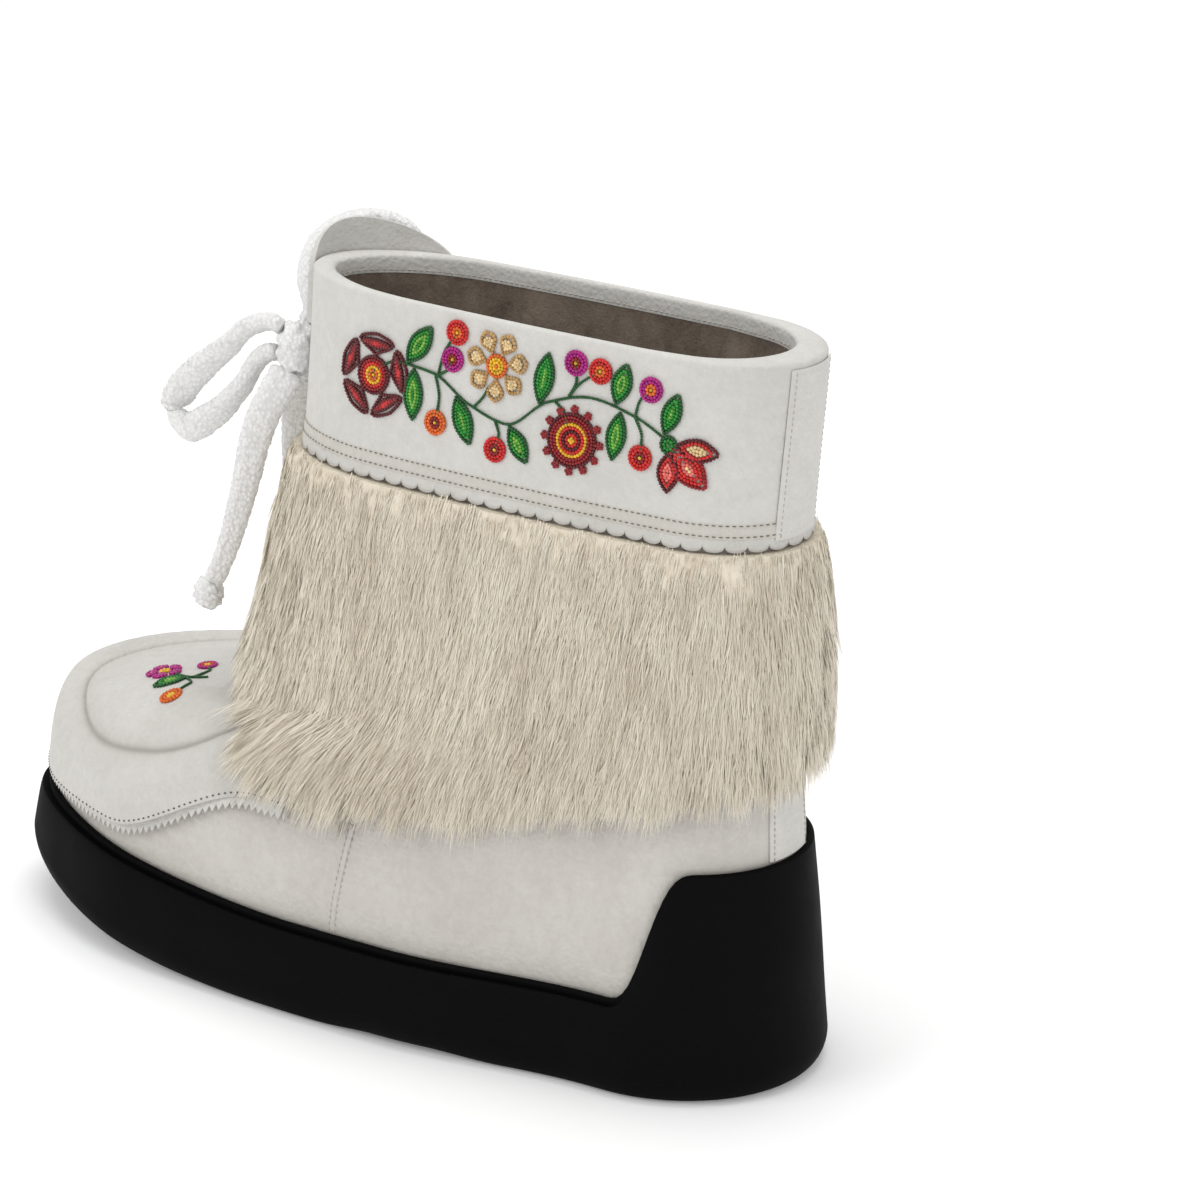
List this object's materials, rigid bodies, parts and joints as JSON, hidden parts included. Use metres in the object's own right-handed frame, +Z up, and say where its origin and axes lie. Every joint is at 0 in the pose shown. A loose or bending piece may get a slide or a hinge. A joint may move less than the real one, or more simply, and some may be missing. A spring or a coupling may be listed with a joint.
{
  "type": "mukluk boot",
  "caption": "Ankle-high left mukluk boot: moccasin toe, deep fur band, smooth folded cuff with scalloped hem, flat back stays, front tab with tie, and a black rubber cup sole with heel cup.",
  "frame": {"origin": "on the floor, under the middle of the boot's bounding box without the tie", "axes": "+Z up, -Y from heel to toe, +X to the outer side of the left foot"},
  "size_m": [0.11, 0.2973, 0.2385],
  "materials": {
    "sole_rubber": "satin black rubber",
    "upper_leather": "grey-white suede-like leather with fleece lining",
    "fleece_footbed": "taupe fleece",
    "toe_leather": "grey-white grained leather",
    "fur": "cream fur with tan streaks",
    "cuff_leather": "smooth off-white leather",
    "stay_leather": "smooth off-white leather",
    "tie_knit": "soft white knitted tie"
  },
  "bodies": {
    "root": {"outsole": "sole_rubber", "upper": "upper_leather", "insole": "fleece_footbed", "toe_overlay": "toe_leather", "fur_band": "fur", "cuff": "cuff_leather", "cuff_back_stay": "stay_leather", "heel_stay": "stay_leather", "front_tab": "cuff_leather", "lace_knot": "tie_knit", "lace_loop_outer": "tie_knit", "lace_loop_inner": "tie_knit", "lace_end_outer": "tie_knit", "lace_end_inner": "tie_knit", "lace_tip_outer": "tie_knit", "lace_tip_inner": "tie_knit"}
  },
  "joints": []
}
